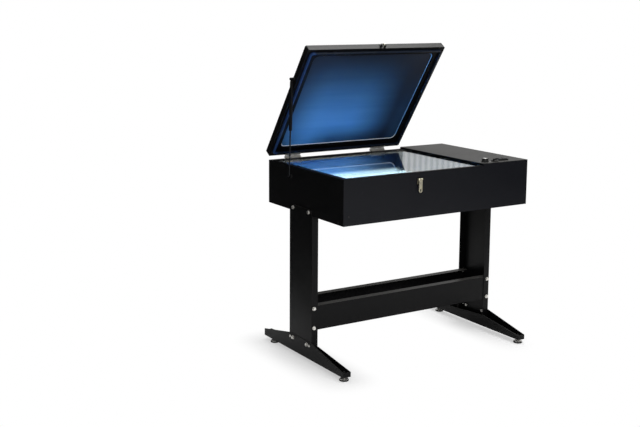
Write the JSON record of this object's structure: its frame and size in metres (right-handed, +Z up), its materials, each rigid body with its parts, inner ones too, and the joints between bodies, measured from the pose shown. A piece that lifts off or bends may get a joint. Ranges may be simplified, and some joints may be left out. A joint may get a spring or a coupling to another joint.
{
  "type": "screen printing exposure unit",
  "caption": "Floor-standing ultraviolet exposure unit: a glass-topped lamp cabinet on a bolted steel stand, with a hinged vacuum lid, gas strut, latch and a raised control deck.",
  "frame": {"origin": "on the floor under the middle of the whole unit, lid open", "axes": "+Z up, -Y towards the operator at the front, +X to the right with the control deck"},
  "size_m": [1.2584, 0.826, 1.7006],
  "materials": {
    "black_paint": "satin black powder coat",
    "dark_panel": "semi-gloss black powder coat",
    "zinc": "bright zinc plate",
    "strut_steel": "polished",
    "rubber": "matte",
    "blanket": "smooth sheet",
    "glass": "clear float glass",
    "lamp_glass": "phosphor coated tube",
    "white_paint": "gloss white",
    "aluminium": "satin",
    "black_plastic": "fine texture",
    "white_plastic": "satin",
    "knob_top": "gloss",
    "brass": "turned",
    "grey_metal": "cast"
  },
  "bodies": {
    "cabinet": {"left_column": "black_paint", "right_column": "black_paint", "front_stretcher": "black_paint", "rear_stretcher": "black_paint", "left_foot": "black_paint", "right_foot": "black_paint", "foot_bolts": "zinc", "foot_screws": "zinc", "frame_bolts": "zinc", "frame_nuts": "zinc", "cabinet_shell": "black_paint", "front_panel": "dark_panel", "top_frame": "black_paint", "divider_panel": "white_paint", "glass_ledge": "black_paint", "glass_gasket": "rubber", "exposure_glass": "glass", "reflector_tray": "white_paint", "lamp_rails": "white_paint", "lamp_holders": "white_plastic", "lamp_tubes": "lamp_glass", "lamp_caps": "aluminium", "ballasts": "grey_metal", "control_deck": "black_paint", "timer_body": "black_plastic", "selector_body": "black_plastic", "switch_bezel": "black_plastic", "power_inlet": "black_plastic", "terminal_block": "white_plastic", "fan_housing": "black_plastic", "fan_grille": "zinc", "vacuum_pump": "grey_metal", "vacuum_port": "brass", "vacuum_hose": "rubber", "cabinet_screws": "black_paint", "cabinet_hinge_leaves": "zinc", "hinge_pins": "zinc", "strut_base_stud": "zinc", "latch_base": "zinc"},
    "levelling_foot_front_left": {"levelling_foot_front_left": "rubber"},
    "levelling_foot_rear_left": {"levelling_foot_rear_left": "rubber"},
    "levelling_foot_front_right": {"levelling_foot_front_right": "rubber"},
    "levelling_foot_rear_right": {"levelling_foot_rear_right": "rubber"},
    "timer_knob": {"timer_knob": "knob_top"},
    "selector_knob": {"selector_knob": "knob_top"},
    "power_rocker": {"power_rocker": "knob_top"},
    "vacuum_rocker": {"vacuum_rocker": "knob_top"},
    "fan_rotor": {"fan_rotor": "black_plastic"},
    "lid": {"lid_skin": "black_paint", "lid_frame": "black_paint", "lid_blanket": "blanket", "blanket_retainer": "aluminium", "lid_seal": "rubber", "lid_hinge_leaves": "zinc", "lid_strut_stud": "zinc", "lid_catch": "zinc"},
    "strut_rod": {"strut_rod": "strut_steel"},
    "strut_tube": {"strut_tube": "black_paint"},
    "latch_strap": {"latch_strap": "zinc"},
    "turn_staple": {"turn_staple": "zinc"}
  },
  "joints": [
    {"name": "lid_hinge", "type": "hinge", "parent": "cabinet", "child": "lid", "pos_m": [-0.1592, 0.377, 1.0525], "axis": [1, 0, 0], "range_deg": [0, 55]},
    {"name": "strut_swing", "type": "hinge", "parent": "cabinet", "child": "strut_rod", "pos_m": [-0.6202, 0.12, 0.989], "axis": [1, 0, 0], "range_deg": [0, 68.27]},
    {"name": "strut_slide", "type": "slide", "parent": "strut_rod", "child": "strut_tube", "axis": [0, -0.0453, 0.999], "range_m": [-0.22681, 0]},
    {"name": "latch_strap_hinge", "type": "hinge", "parent": "cabinet", "child": "latch_strap", "pos_m": [-0.1352, -0.3985, 1.009], "axis": [-1, 0, 0], "range_deg": [0, 180]},
    {"name": "staple_turn", "type": "hinge", "parent": "lid", "child": "turn_staple", "pos_m": [-0.1352, -0.04212, 1.67461], "axis": [0, -0.5736, 0.8192], "range_deg": [0, 90]},
    {"name": "timer_turn", "type": "hinge", "parent": "cabinet", "child": "timer_knob", "pos_m": [0.3548, -0.335, 1.057], "axis": [0, 0, -1], "range_deg": [0, 300]},
    {"name": "selector_turn", "type": "hinge", "parent": "cabinet", "child": "selector_knob", "pos_m": [0.4168, -0.345, 1.057], "axis": [0, 0, -1], "range_deg": [0, 90]},
    {"name": "power_rock", "type": "hinge", "parent": "cabinet", "child": "power_rocker", "pos_m": [0.4658, -0.331, 1.062], "axis": [-1, 0, 0], "range_deg": [0, 14]},
    {"name": "vacuum_rock", "type": "hinge", "parent": "cabinet", "child": "vacuum_rocker", "pos_m": [0.4938, -0.331, 1.062], "axis": [-1, 0, 0], "range_deg": [0, 14]},
    {"name": "fan_spin", "type": "hinge", "parent": "cabinet", "child": "fan_rotor", "pos_m": [-0.3052, 0.35, 0.926], "axis": [0, 1, 0], "continuous": true},
    {"name": "level_front_left", "type": "slide", "parent": "cabinet", "child": "levelling_foot_front_left", "axis": [0, 0, 1], "range_m": [-0.012, 0.004]},
    {"name": "level_rear_left", "type": "slide", "parent": "cabinet", "child": "levelling_foot_rear_left", "axis": [0, 0, 1], "range_m": [-0.012, 0.004]},
    {"name": "level_front_right", "type": "slide", "parent": "cabinet", "child": "levelling_foot_front_right", "axis": [0, 0, 1], "range_m": [-0.012, 0.004]},
    {"name": "level_rear_right", "type": "slide", "parent": "cabinet", "child": "levelling_foot_rear_right", "axis": [0, 0, 1], "range_m": [-0.012, 0.004]}
  ],
  "couplings": [
    {"joint": "strut_swing", "follows": "lid_hinge", "ratio": 1.2413},
    {"joint": "strut_slide", "follows": "lid_hinge", "m_per_rad": -0.23628}
  ]
}
